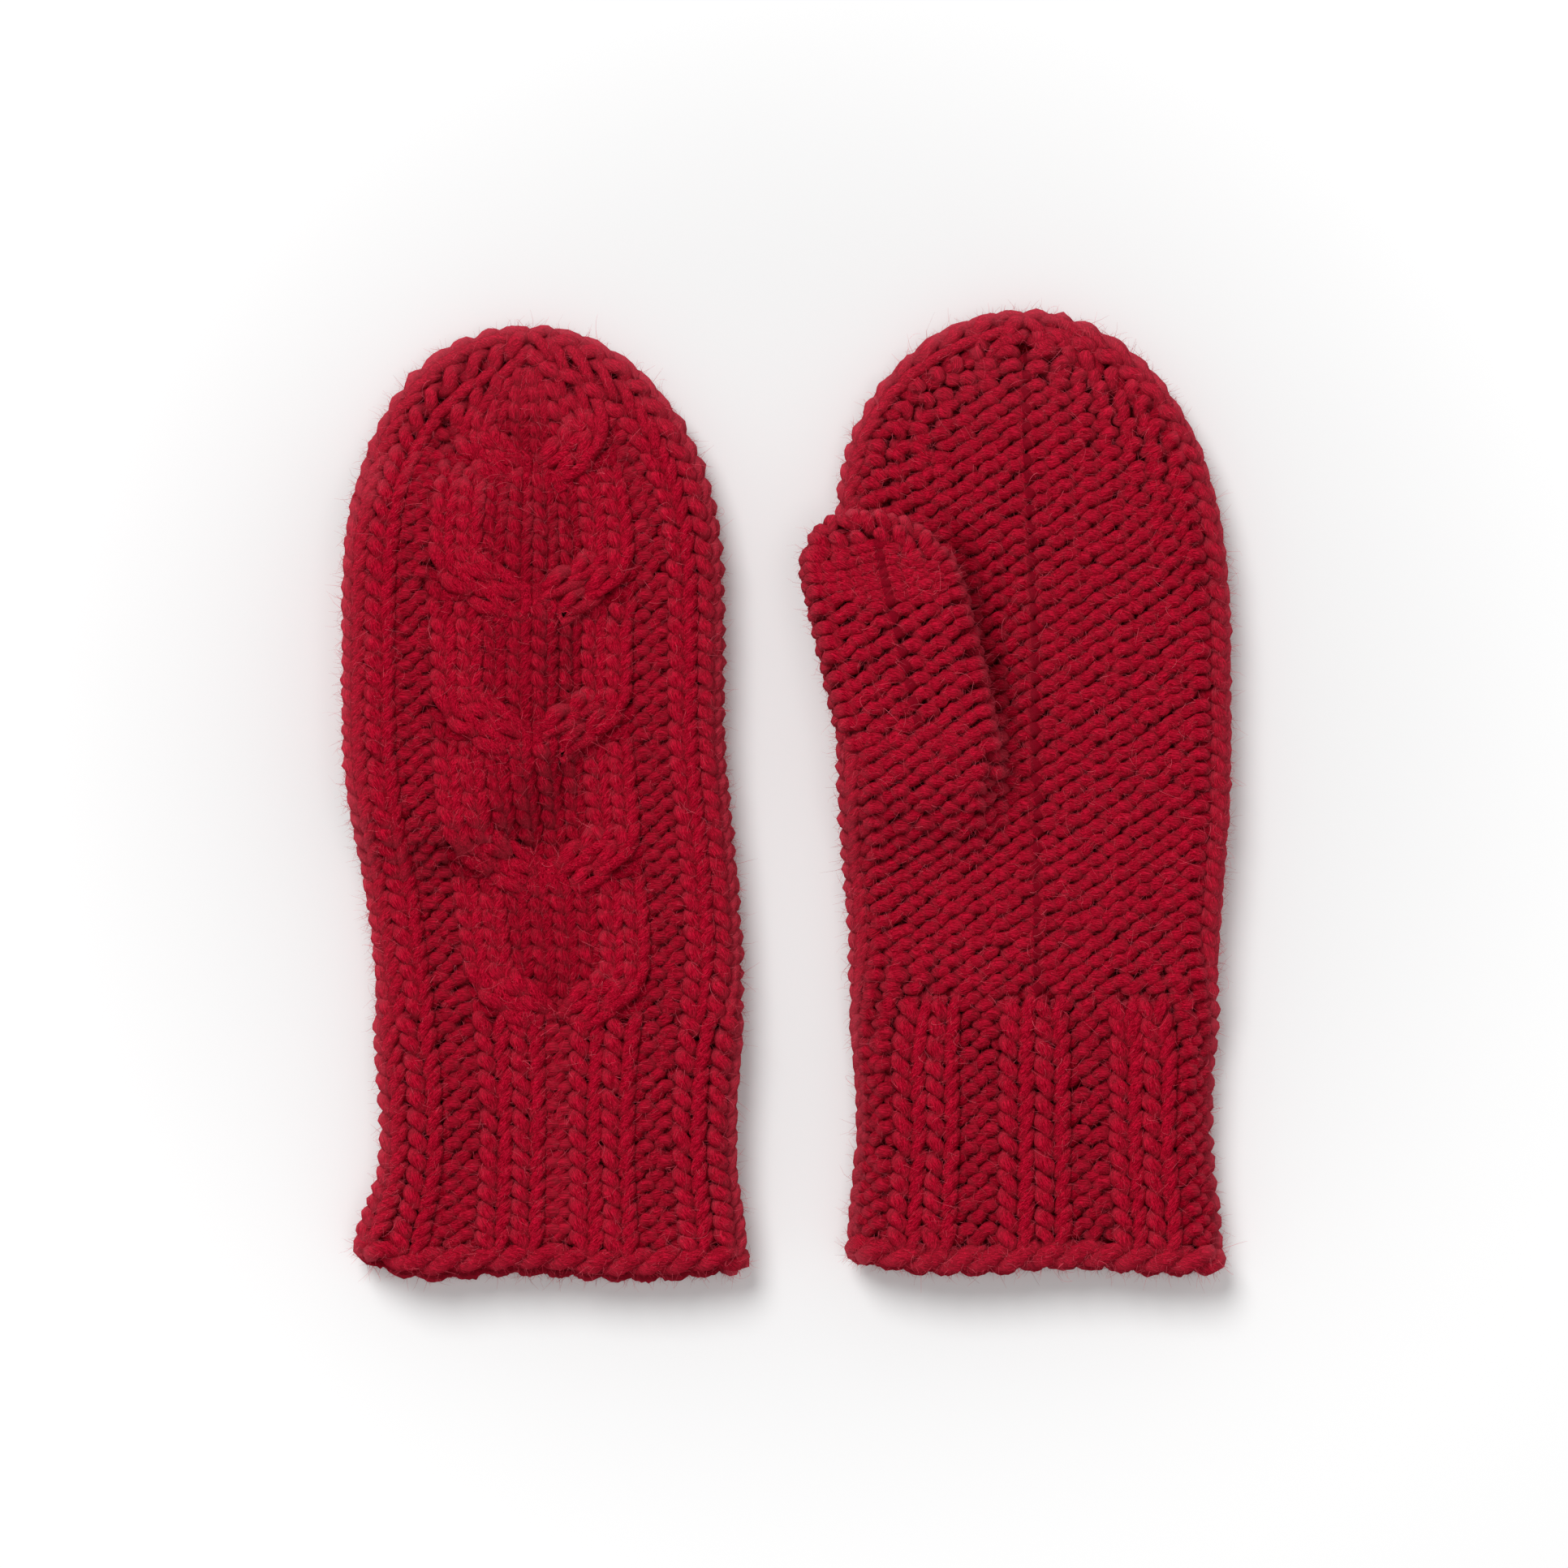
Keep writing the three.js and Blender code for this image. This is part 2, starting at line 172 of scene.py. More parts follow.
# The horseshoe cable. Spans are in rows from a crossing.
CABLE_HALF = 4  # columns on each side of the middle
CABLE_PAIR = 2  # columns that cross together
CABLE_COLUMN = 4.8  # a dome row has as many cable columns as fit at this width
CABLE_FIRST = 13.7
CABLE_REPEAT = 8
CROSSING_LEAD = 0.9  # how long before it the front pair sets out
CROSSING_ROWS = 2.8  # and how long that pair takes
CROSSING_PEAK = 0.4  # where the front pair stands highest
CROSSING_SPREAD = 1.7
CROSSING_NARROW = 0.06  # the front pair is drawn together there
BACK_FIRST = (-1.2, -0.3)  # when each column of the back pair passes
BACK_SECOND = (0.5, 1.7)
CABLE_FRONT, CABLE_BACK = 2.3, -1.8
CABLE_UP, CABLE_IN = 0.9, -1.3  # the outer and inner columns between crossings
CABLE_REST = 2.2  # how far from a crossing the columns come to rest

# The dome. On the palm the rows run level almost to the edge.
LEVEL_ROWS = 0.65
GATHER = 0.5
THUMB_LEVEL_ROWS = 0.8
THUMB_GATHER = 0.6
PALM_TURN = 16  # from the edge
NARROW_TURN, LEAST_TURN = 0.7, 0.5  # in a narrow row, a share of it and more
STEEPEST_ROW = 1.0
GUTTER_CLOSES = (16, 44)  # half widths of the back
GUTTER_TWO, GUTTER_ONE = 5, 2  # narrowest gutters of two columns and of one
MOST_STRETCH = 1.6
ODD_COLUMN = 0.55  # share of a column that stands on its own
LAST_COLUMN = 0.25

# The surface of the knitting.
YARN_TWIST = 0.42  # radians for each millimetre
ROUGHNESS = 0.07  # of the yarn's surface, as a part of its radius
ON_TABLE = 0.05  # nothing is pressed lower than this
OUTWARD = 0.4  # step to a strand's outer side
LINING_STEPS = 120
LINING_SHORT = 0.3  # rows that the lining stops short of the next piece
LINING_DEPTH = -2.4
LINING_SHADE = -3.5  # the lining's height in the fabric, where the painted shade is darkest
FABRIC_TOP = 4.0  # and where it is lightest
TIP_LINING = 1.6  # how much nearer to the surface the lining is at the tip
TIP_LINING_ROWS = (6, 1)  # before the last row
EDGE_SHEEN = 0.45  # painted sheen: how much paler the yarn is painted where the fabric turns away from above
EDGE_SHEEN_POWER = 1.2
TIP_HEM_LIGHT = 0.06  # painted light: how much paler the yarn is painted at the fingertips and the hem
LIGHT_AT_TIP = (222, 258)
LIGHT_AT_HEM = (0, 12)

# Loose fibres.
FUZZ = 2.5  # for each sample of a strand
HAIR_RADIUS = 0.047
HAIR_LENGTH = (1.5, 4.5)
HAIR_GAMMA = (2.2, 0.5)  # how the lengths spread
HAIR_SPREAD = 1.9  # radians to each side of a strand's outer side
HAIR_BEND = 1.8
HAIR_ALONG, HAIR_OUT, HAIR_SWAY = 0.55, 0.75, 0.35
HAIR_ROOT = 0.93  # share of the yarn's radius
HAIR_TAPER = 0.75
HAIR_LIGHT = 1.5  # painted light: fibres are shaded as if this much higher than their strand
HAIR_SIDES = 3
HAIR_STEPS = 3
HAIR_PALE = (0.2, 1.0)
LONG_HAIRS = 0.02  # of all loose fibres
LONG_RADIUS = 0.06
LONG_LENGTH = (5, 11)
LONG_BEND = (1.5, 4.0)
LONG_ALONG, LONG_OUT, LONG_SWAY = 0.75, 0.35, 0.5
# long fibres are shaded as if this much higher again, so they are painted lighter
LONG_LIGHT = 1.0
LONG_STEPS = 9
LONG_PALE = (0.7, 1.6)
LEAST_BEND = 1e-3

# The two-ply cast-on edge.
CORD_PLIES = 2
CORD_RADIUS = 1.75
CORD_ROW = -0.35
CORD_STEPS = 360
CORD_PITCH = 16.5
CORD_SWELLS = 60  # radians of swelling and thinning round the edge
# the cord and its fibres are shaded as if this much higher in the fabric, so they are painted lighter
CORD_LIGHT = 2.5
CORD_HAIR_LIGHT = 2.0
PLY_RADIUS = 2.5

# sway: how far the middle line moves across, and between which two places. hem: how far up the edges of
# its upper and lower layers lie, how far its thumb side moves across (flare) and up (corner), and the
# phase of its wave.
MITTENS = {
    "left": dict(
        palm_up=True, half_width=54.8, sway=(-3.2, 170, 240), tip_sway=0, thumb_x=-34.6, lean=13, seed=3,
        hem=dict(upper=0.6, lower=-2.0, flare=0.6, corner=1.5, phase=0.5),
    ),
    "right": dict(
        palm_up=False, half_width=52.8, sway=(-6.8, 80, 157), tip_sway=-1.6, thumb_x=-29.5, lean=0, seed=8,
        hem=dict(upper=4.6, lower=0.3, flare=-4.2, corner=5.5, phase=2.6),
    ),
}

# Each piece of knitting: its rows, the bodies it bends between and where, its slot and its CAD nodes.
SECTIONS = (
    (
        "cuff_knit", (0, CUFF_ROWS), ("cuff", "hand"), WRIST, "rib_knit",
        ("cuff_back", "cuff_palm", "cuff_thumb_side", "cuff_outer_side"),
    ),
    (
        "hand_knit_lower", (CUFF_ROWS, 24), ("cuff", "hand"), WRIST, "cable_knit",
        ("hand_back", "hand_palm", "thumb_gusset"),
    ),
    (
        "hand_knit_upper", (24, 35), ("hand", "fingers"), FINGER_FOLD, "cable_knit",
        ("hand_thumb_side", "hand_outer_side"),
    ),
    (
        "finger_knit", (35, LAST_ROW), ("hand", "fingers"), FINGER_FOLD, "cable_knit",
        ("fingers_back", "fingers_palm", "fingers_thumb_side", "fingers_outer_side", "fingertip"),
    ),
)


def smooth(value, start, end):
    """0 at the start, 1 at the end, and an even curve between them."""
    part = np.clip((value - start) / (end - start), 0, 1)
    return part * part * (3 - 2 * part)


def mix(a, b, part):
    return a + (b - a) * part


def bell(value, spread):
    return np.exp(-((value / spread) ** 2))


def unit(vectors):
    return vectors / np.maximum(np.linalg.norm(vectors, axis=1, keepdims=True), TINY)


def row_y(row):
    """How far up the mitten a row lies."""
    hand = CAST_ON + CUFF_ROW * CUFF_ROWS + HAND_ROW * (row - CUFF_ROWS)
    return np.where(row < CUFF_ROWS, CAST_ON + CUFF_ROW * row, hand)


def half_depth(y):
    return mix(HALF_DEPTH, TIP_HALF_DEPTH, smooth(y, TAPER_START, LENGTH))


# The palm is lifted up to this row, where the thumb's foot begins. The thumb's rows stand half a row
# off the palm's, as its columns stand half a column off.
FOOT_BELOW_ROOT = 17
FOOT_ROW = int(np.interp(THUMB_ROOT - FOOT_BELOW_ROOT, row_y(np.arange(LAST_ROW)), np.arange(LAST_ROW)))
THUMB_FOOT = float(row_y(FOOT_ROW + 0.5)) - THUMB_ROOT


# ---------------------------------------------------------------- form

class Tube:
    """A flattened tube that closes in a dome, addressed by row, s and out."""

    ROW_SAMPLES = 1800
    ARC_SAMPLES = 700
    ARC_RISING = 500  # samples before the arc's top, where it still rises
    ROWS_BELOW, ROWS_ABOVE = 4, 1.5
    PAST_TIP = 0.5  # radians of the arc beyond the tip
    LEAST_REACH = 0.02

    def __init__(
        self, *, side, row_y, depth, mid, dome_start, dome_row, last_row, length, power, level_rows, gather
    ):
        rows = np.linspace(-self.ROWS_BELOW, last_row + self.ROWS_ABOVE, self.ROW_SAMPLES)
        y = row_y(rows)
        rise = length - dome_start
        turn = np.linspace(0, math.pi / 2 + self.PAST_TIP, self.ARC_SAMPLES)
        arc_x = side(np.array([float(dome_start)]))[0] * np.cos(turn)
        arc_y = dome_start + rise * np.sin(turn) ** power
        run = np.concatenate([[0], np.cumsum(np.hypot(np.diff(arc_x), np.diff(arc_y)))])
        quarter = np.interp(math.pi / 2, turn, run)
        part = (rows - dome_row) / (last_row - dome_row)
        domed = part > 0
        # Low in the dome the rows climb with the edge; at the tip they gather along it.
        heights = dome_start + rise * np.clip(part, 0, 1)
        climbing = np.interp(heights, arc_y[:self.ARC_RISING], run[:self.ARC_RISING])
        along = mix(part * quarter, climbing, level_rows * smooth(1 - part, 0, gather))
        px = np.where(domed, np.interp(along, run, arc_x), side(np.minimum(y, dome_start)))
        py = np.where(domed, np.interp(along, run, arc_y), y)
        dx, dy = np.gradient(px), np.gradient(py)
        size = np.hypot(dx, dy)
        nx, ny = dy / size, -dx / size
        half = depth(py)
        centre = np.where(domed, dome_start + (rise - half) * part, y)
        reach = np.maximum(px - nx * half, self.LEAST_REACH)
        edge_y = py - ny * half
        level = np.interp(centre, edge_y, reach)
        self.rows = rows
        self.mid = mid
        self.last_row = last_row
        self.table = dict(nx=nx, ny=ny, half=half, x=reach, y=edge_y, centre=centre, level=level)

    def at(self, name, row):
        return np.interp(row, self.rows, self.table[name])

    def girth(self, row):
        """Half the way round the middle of the layer."""
        return 2 * self.at("x", row) + math.pi * (self.at("half", row) - self.mid)

    def surface(self, row, s, out):
        """Points at a row, s and out, and the tube's depth there."""
        nx, ny, half, x, y, centre, level = (self.at(name, row) for name in self.table)
        bend = half - self.mid
        t = np.abs(s)
        angle = np.clip((t - x) / bend, 0, math.pi)
        palm = np.clip(t - x - math.pi * bend, 0, None)
        across = np.where(angle <= 0, t / x, np.where(palm > 0, (x - palm) / x, 1.0))
        radial = bend + out
        # On the palm the rows run level almost to the edge.
        turning = np.minimum(PALM_TURN, NARROW_TURN * x + LEAST_TURN)
        turned = np.clip(1 - (1 - np.abs(across)) * x / turning, 0, 1) ** 2
        width = np.where(palm > 0, mix(level, x, turned), x)
        px = np.sign(s) * (width * across + nx * radial * np.sin(angle))
        # On the back they turn up towards the edge, to meet it squarely.
        part = np.abs(across)
        slope = np.minimum(ny / np.maximum(nx, TINY), STEEPEST_ROW) * x
        square = (y - centre) * (3 * part**2 - 2 * part**3) + slope * (part**3 - part**2)
        climb = np.where(palm > 0, (y - centre) * turned, square)
        py = centre + climb + ny * radial * np.sin(angle)
        pz = half - radial * np.cos(angle)
        return px, py, pz, 2 * half


class Mitten:
    def __init__(self, name, palm_up, half_width, sway, tip_sway, thumb_x, lean, hem, seed):
        self.name = name
        self.palm_up = palm_up
        self.chirality = -1 if palm_up else 1
        self.half_width = half_width
        self.sway = sway
        self.tip_sway = tip_sway
        self.lean = math.radians(lean)
        self.hem = hem
        self.random = np.random.default_rng(seed)
        low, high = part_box(f"{name}_cast_on_edge")
        self.x = (low.x + high.x) / 2 / MM
        self.y = low.y / MM
        self.thumb_x = thumb_x + self.sway_at(THUMB_ROOT)
        self.dome_row = CUFF_ROWS + (DOME_START - row_y(CUFF_ROWS)) / HAND_ROW
        self.tube = Tube(
            side=self.side, row_y=row_y, depth=half_depth, mid=MID, dome_start=DOME_START,
            dome_row=self.dome_row, last_row=LAST_ROW, length=LENGTH, power=DOME_POWER,
            level_rows=LEVEL_ROWS, gather=GATHER,
        )

    def side(self, y):
        """Half the mitten's width below its dome."""
        hem = mix(HEM_HALF_WIDTH, CUFF_HALF_WIDTH, smooth(y, CAST_ON, CUFF_WAIST))
        wrist = mix(hem, WRIST_HALF_WIDTH, smooth(y, CUFF_WAIST, WRIST))
        return mix(wrist, self.half_width, smooth(y, WRIST, PALM_FULL))

    def sway_at(self, y):
        """How far the middle line lies to one side."""
        amount, start, end = self.sway
        return amount * smooth(y, start, end) + self.tip_sway * smooth(y, *TIP_SWAY)

    def lift(self, x, y):
        """How far the palm-down mitten is held up by the thumb beneath it."""
        if self.palm_up:
            return np.zeros_like(x)
        along = np.clip(y - THUMB_ROOT, 0, THUMB_STRAIGHT)
        distance = np.hypot(x - self.thumb_x, y - THUMB_ROOT - along)
        clear = THUMB_HALF_WIDTH + DRAPE_MARGIN
        return THUMB_LIFT * (1 - smooth(distance, clear, clear + DRAPE))

    def gusset(self, x, y, lifted):
        """How far the palm swells up to the thumb's root and sinks beside it, on the palm-up mitten."""
        up = y - THUMB_ROOT
        beside = x - self.thumb_x - THUMB_FOOT_SHIFT - THUMB_HALF_WIDTH
        climb = GUSSET_RISE * smooth(up, *GUSSET_CLIMB) * (1 - smooth(beside, *GUSSET_SIDE))
        ends = smooth(up, *CROTCH_START) * (1 - smooth(up, *CROTCH_END))
        trough = bell(beside - CROTCH_PLACE, CROTCH_WIDTH) * ends
        return np.where(lifted, climb, 0) - CROTCH_DIP * trough

    def shade(self, points):
        """How much deeper in the fabric's shade the crease beside the palm-up thumb is."""
        if not self.palm_up:
            return 0
        x, y, z = points.T
        up = y - THUMB_ROOT
        along = np.clip((up + CREASE_FOOT) / (THUMB_LENGTH + CREASE_FOOT), 0, 1)
        edge = self.thumb_x + THUMB_FOOT_SHIFT + THUMB_HALF_WIDTH - CREASE_LEAN * along**THUMB_SLANT
        ends = smooth(up, *CREASE_START) * (1 - smooth(up, *CREASE_END))
        crease = bell(x - edge, np.where(x < edge, CREASE_UNDER, CREASE_BESIDE))
        return CREASE_SHADE * crease * ends * smooth(z, *CREASE_HEIGHT)

    def lay(self, px, py, pz, depth, lifted=False):
        """Where a point of the straight, flat tube comes to lie on the table."""
        z = pz if self.palm_up else depth - pz
        hem = 1 - smooth(py, 0, HEM_REACH)
        x = px + self.sway_at(py) + self.hem["flare"] * hem**2 * smooth(-px, *HEM_FLARE)
        level = mix(self.hem["lower"], self.hem["upper"], z / depth)
        wave = HEM_WAVE * np.sin(2 * math.pi * px / HEM_WAVE_LENGTH + self.hem["phase"])
        y = py + hem * (level + wave + self.hem["corner"] * smooth(-px, *HEM_CORNER))
        z = z + (1 - UPPER_EASE * z / depth) * self.lift(x, y)
        if self.palm_up:
            z = z + self.gusset(x, y, lifted) * smooth(pz, *GUSSET_LAYER)
        return np.stack([x, y, np.maximum(z, LOWEST)], -1)


# ---------------------------------------------------------------- columns of one row

class Columns:
    """The stitch columns of half a row, from the middle of the back to the middle of the palm."""

    def __init__(self, widths, kinds, relief, cable=0):
        self.widths = np.array(widths, float)
        self.kinds = np.array(kinds, float)
        self.relief = np.array(relief, float)
        self.cable = cable
        self.count = len(widths)
        self.start = np.concatenate([[0], np.cumsum(self.widths)[:-1]])


def even(width, count):
    return [width / count] * count if count else []


def hand_row(centre, cable, gutter, gutters, band, palm_widths):
    """Cable, purl gutter, three knit columns round the edge, and the purl palm."""
    widths = even(centre, cable) + even(gutter, gutters) + even(band, BAND_COLUMNS) + list(palm_widths)
    palms = len(palm_widths)
    kinds = [KNIT] * cable + [PURL] * gutters + [KNIT] * BAND_COLUMNS + [PURL] * palms
    relief = [0.0] * cable + [GUTTER_DOWN] * gutters + [BAND_UP] * BAND_COLUMNS + [PALM_DOWN] * palms
    return Columns(widths, kinds, relief, cable)


def straight_columns(girth, back, band, row):
    """A row below the dome: ribs in the cuff, and above it the cable between its gutters."""
    cuff_share = 1 - smooth(row, CUFF_ROWS - CUFF_BLEND, CUFF_ROWS + CUFF_BLEND)
    scale = girth / CUFF_GIRTH
    gutter = mix(HAND_GUTTER, CUFF_GUTTER * scale, cuff_share)
    centre = mix(back - HAND_GUTTER, CUFF_BACK.sum() * scale, cuff_share)
    band = mix(band, CUFF_BAND * scale, cuff_share)
    shares = mix(1 / len(CUFF_PALM), CUFF_PALM / CUFF_PALM.sum(), cuff_share)
    palm_widths = shares * (girth - centre - gutter - band)
    if row >= CUFF_ROWS:
        return hand_row(centre, CABLE_HALF, gutter, 2, band, palm_widths)
    back_widths = CUFF_BACK * centre / CUFF_BACK.sum()
    widths = [*back_widths, *even(gutter, 2), *even(band, 2), *palm_widths]
    return Columns(widths, CUFF_KINDS, [RIB_UP if kind == KNIT else RIB_DOWN for kind in CUFF_KINDS])


def whole_columns(width):
    """Shares of a width cut into whole columns, the odd one at the outer edge."""
    whole = int(width // PALM_COLUMN)
    rest = width - whole * PALM_COLUMN
    if whole == 0:
        return np.ones(1) if rest > LAST_COLUMN * PALM_COLUMN else np.zeros(0)
    columns = [PALM_COLUMN] * whole
    if rest > ODD_COLUMN * PALM_COLUMN:
        columns.insert(0, rest)
    else:
        columns[0] += rest
    return np.array(columns) / width


def dome_columns(tube, girth, back, band, row):
    """A row of the dome, where columns run out one after the other."""
    palm = max(girth - back - band, 0)
    gutter = HAND_GUTTER * smooth(back, *GUTTER_CLOSES)
    gutters = 2 if gutter > GUTTER_TWO else 1 if gutter > GUTTER_ONE else 0
    centre = back - (gutter if gutters else 0)
    cable = min(CABLE_HALF, round(centre / CABLE_COLUMN))
    stretch = np.clip(tube.at("level", row) / max(tube.at("x", row), 1), 1, MOST_STRETCH)
    shares = whole_columns(palm * stretch)
    if len(shares) == 0:
        band = band + palm
    return hand_row(centre, cable, gutter, gutters, band, shares * palm)


def main_columns(mitten, row):
    tube = mitten.tube
    girth = tube.girth(row)
    back = max(tube.at("x", row) - BAND_ON_BACK, 0)
    band = min(BAND_WIDTH, girth - back)
    if row < mitten.dome_row:
        return straight_columns(girth, back, band, row)
    return dome_columns(tube, girth, back, band, row)


def thumb_columns(tube, row):
    girth = tube.girth(row)
    count = max(round(girth / THUMB_COLUMN), 2)
    return Columns(even(girth, count), [PURL] * count, [0.0] * count)


# ---------------------------------------------------------------- strands of yarn

def cable_shift(columns, column, s, rows, row):
    """How samples of cable columns move at the nearest crossing: along s, along rows and outwards."""
    width = columns.widths[0]
    crossing = CABLE_FIRST + CABLE_REPEAT * max(round((row - CABLE_FIRST) / CABLE_REPEAT), 0)
    after = rows - crossing
    progress = (after + CROSSING_LEAD) / CROSSING_ROWS
    turn = math.pi / 2 * np.clip(progress, 0, 1)
    front_path = np.sin(turn)
    moving = (progress >= 0) & (progress <= 1)
    front_pace = np.where(moving, math.pi / 2 / CROSSING_ROWS * np.cos(turn), 0)
    # The two columns at the back pass one after the other, each where the front pair hides it.
    back_path = np.where(column % 2 == 0, smooth(after, *BACK_FIRST), smooth(after, *BACK_SECOND))
    # Below a crossing the inner pair is the one that will pass in front; above it, it is the outer.
    inner = column < CABLE_PAIR
    below = row < crossing
    front = inner if below else ~inner
    path = np.where(front, front_path, back_path)
    travel = np.where(front, 1.0, -1.0) * CABLE_PAIR * width
    shift = travel * (path if below else path - 1)
    slope = travel * np.where(front, front_pace, 0) / HAND_ROW
    lateral = s - np.where(inner, width, 3 * width)
    peak = bell(after - CROSSING_PEAK, CROSSING_SPREAD)
    # A slanting column is as wide across its own run as a straight one.
    squeeze = (1 - CROSSING_NARROW * np.where(front, peak, 0)) / np.sqrt(1 + slope**2)
    from_edge = np.where(front, lateral + width, lateral)
    along_s = shift + from_edge * (squeeze - 1)
    along_rows = -lateral * slope * squeeze / HAND_ROW
    rest = np.where(inner, CABLE_IN, CABLE_UP) * (1 - bell(after - CROSSING_PEAK, CABLE_REST))
    outwards = np.where(front, CABLE_FRONT, CABLE_BACK) * peak + rest
    return along_s, along_rows, outwards


def strand(tube, columns, row, chirality, random):
    """Row, s, out and radius along one row of stitches, which runs round from the palm's middle."""
    count = columns.count
    order = np.arange(count)
    column = np.repeat(np.concatenate([order[::-1], order]), SAMPLES)
    side = np.repeat([-1.0, 1.0], count * SAMPLES)
    stitch = column + np.where(side < 0, 0, count)
    rise = 1 + RISE_WOBBLE * random.standard_normal(2 * count)
    shift = ROW_WOBBLE * random.standard_normal(2 * count)
    middle = row + 0.5
    t = np.tile(2 * math.pi * np.arange(SAMPLES) / SAMPLES, 2 * count)
    # On the left half the row runs towards the middle, so the phase within the column is mirrored.
    local = np.where(side < 0, 2 * math.pi - t, t)
    width = columns.widths[column]
    s = columns.start[column] + width * local / (2 * math.pi)

    # Near its ends a stitch takes half of its neighbour's place.
    near = 0.5 * (1 - smooth(np.minimum(local, 2 * math.pi - local), 0, NEIGHBOUR))
    beyond = column + np.where(local < math.pi, -1, 1)
    neighbour = np.clip(beyond, 0, count - 1)
    kind = mix(columns.kinds[column], columns.kinds[neighbour], near)
    relief = mix(columns.relief[column], columns.relief[neighbour], near)
    purl = (1 - kind) / 2

    s = s + mix(LOOP_BULGE, PURL_BULGE, purl) * width * np.sin(2 * local)
    slant = chirality * mix(KNIT_SLANT, PURL_SLANT, purl)
    rows = middle - LOOP_RISE * rise[stitch] * np.cos(t) + slant * np.sin(2 * t)
    rows = rows + shift[stitch] * (1 - np.cos(t)) / 2
    bend = tube.at("half", middle) - tube.mid
    edge_on = np.sin(np.clip((s - tube.at("x", middle)) / bend, 0, math.pi)) ** 2
    depth = mix(LOOP_DEPTH, PURL_DEPTH, purl) * (1 - EDGE_CALM * edge_on)
    out = relief + kind * (-depth * np.cos(2 * t) + LOOP_TILT * np.cos(t))
    out = out + PURL_TUCK * purl * chirality * np.sin(2 * t)

    if columns.cable == CABLE_HALF:
        own = np.where(column < CABLE_HALF, 1 - near, 0)
        other = np.where(neighbour < CABLE_HALF, near, 0)
        mirrored = np.where(beyond < 0, -1.0, 1.0)
        own_s, own_row, own_out = cable_shift(columns, column, s, rows, middle)
        other_s, other_row, other_out = cable_shift(columns, neighbour, s, rows, middle)
        s = s + own * own_s + other * mirrored * other_s
        rows = rows + own * own_row + other * other_row
        out = out + own * own_out + other * other_out

    # Carry s from the row's own girth to the girth where the sample lies.
    s = s * tube.girth(rows) / tube.girth(middle)
    radius = mix(YARN, PURL_YARN * (1 + PURL_PLUMP * np.cos(2 * t)), purl)
    radius = radius + LEG_DIFFERENCE * (1 - purl) * chirality * np.sin(t)
    return rows, side * s, out, radius


# ---------------------------------------------------------------- meshes

def quads(rings, sides, closed=False):
    """Faces between each ring of points and the next."""
    i = np.arange(rings if closed else rings - 1)[:, None]
    j = np.arange(sides)[None, :]
    ahead, beside = (i + 1) % rings, (j + 1) % sides
    corners = (i * sides + j, ahead * sides + j, ahead * sides + beside, i * sides + beside)
    return np.stack(corners, -1).reshape(-1, 4)


